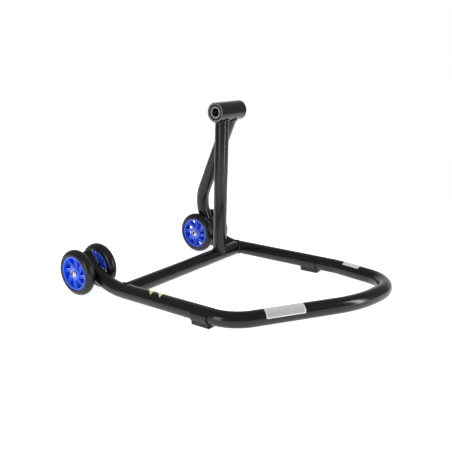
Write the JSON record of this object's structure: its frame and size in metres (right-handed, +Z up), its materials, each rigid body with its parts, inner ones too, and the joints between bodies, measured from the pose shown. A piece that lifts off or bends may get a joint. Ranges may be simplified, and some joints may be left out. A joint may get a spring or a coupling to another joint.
{
  "type": "paddock stand",
  "caption": "Paddock stand for a motorcycle with a single-sided swingarm: bent tube base with wheels behind, handle loop in front, and a braced column that carries a bearing sleeve.",
  "frame": {"origin": "on the floor under the centre of the stand's box", "axes": "+X from the wheels towards the handle loop, +Y from the near side to the side with the column, along the pin's axis, +Z up"},
  "size_m": [0.6075, 0.4914, 0.3898],
  "materials": {
    "frame_black": "semi-gloss black powder coat",
    "black_plastic": "satin moulded plastic",
    "foot_rubber": "satin moulded rubber",
    "tyre_black": "satin cast polyurethane",
    "core_blue": "glossy moulded nylon",
    "steel": "zinc plated",
    "bearing_steel": "ground and polished",
    "seal_rubber": "matt nitrile rubber",
    "silver_label": "silver foil label",
    "yellow_mark": "printed vinyl sticker"
  },
  "bodies": {
    "frame": {"main_tube": "frame_black", "cross_tube": "frame_black", "column_tube": "frame_black", "pin_sleeve": "frame_black", "weld_beads": "frame_black", "axle_bushes": "frame_black", "tail_cap": "black_plastic", "near_foot": "foot_rubber", "far_foot": "foot_rubber", "foot_screws": "steel", "grip_label": "silver_label", "side_label": "silver_label", "triangle_marks": "yellow_mark", "pin_outer_rings": "bearing_steel", "pin_seals": "seal_rubber", "pin_balls": "bearing_steel", "near_axle_bolt": "steel", "near_lock_nut": "steel", "near_washers": "steel", "near_hub_sleeves": "steel", "far_axle_bolt": "steel", "far_lock_nut": "steel", "far_washers": "steel", "far_hub_sleeves": "steel"},
    "pin_carrier": {"pin_inner_rings": "bearing_steel", "pin_spacer": "steel"},
    "near_outer_wheel": {"near_outer_core": "core_blue", "near_outer_tyre": "tyre_black"},
    "near_inner_wheel": {"near_inner_core": "core_blue", "near_inner_tyre": "tyre_black"},
    "far_inner_wheel": {"far_inner_core": "core_blue", "far_inner_tyre": "tyre_black"},
    "far_outer_wheel": {"far_outer_core": "core_blue", "far_outer_tyre": "tyre_black"}
  },
  "joints": [
    {"name": "pin_spin", "type": "hinge", "parent": "frame", "child": "pin_carrier", "pos_m": [-0.12851, 0.1362, 0.3673], "axis": [0, 1, 0], "continuous": true},
    {"name": "near_outer_wheel_spin", "type": "hinge", "parent": "frame", "child": "near_outer_wheel", "pos_m": [-0.25378, -0.2308, 0.05], "axis": [0, 1, 0], "continuous": true},
    {"name": "near_inner_wheel_spin", "type": "hinge", "parent": "frame", "child": "near_inner_wheel", "pos_m": [-0.25378, -0.1698, 0.05], "axis": [0, 1, 0], "continuous": true},
    {"name": "far_inner_wheel_spin", "type": "hinge", "parent": "frame", "child": "far_inner_wheel", "pos_m": [-0.25378, 0.1642, 0.05], "axis": [0, 1, 0], "continuous": true},
    {"name": "far_outer_wheel_spin", "type": "hinge", "parent": "frame", "child": "far_outer_wheel", "pos_m": [-0.25378, 0.2252, 0.05], "axis": [0, 1, 0], "continuous": true}
  ]
}
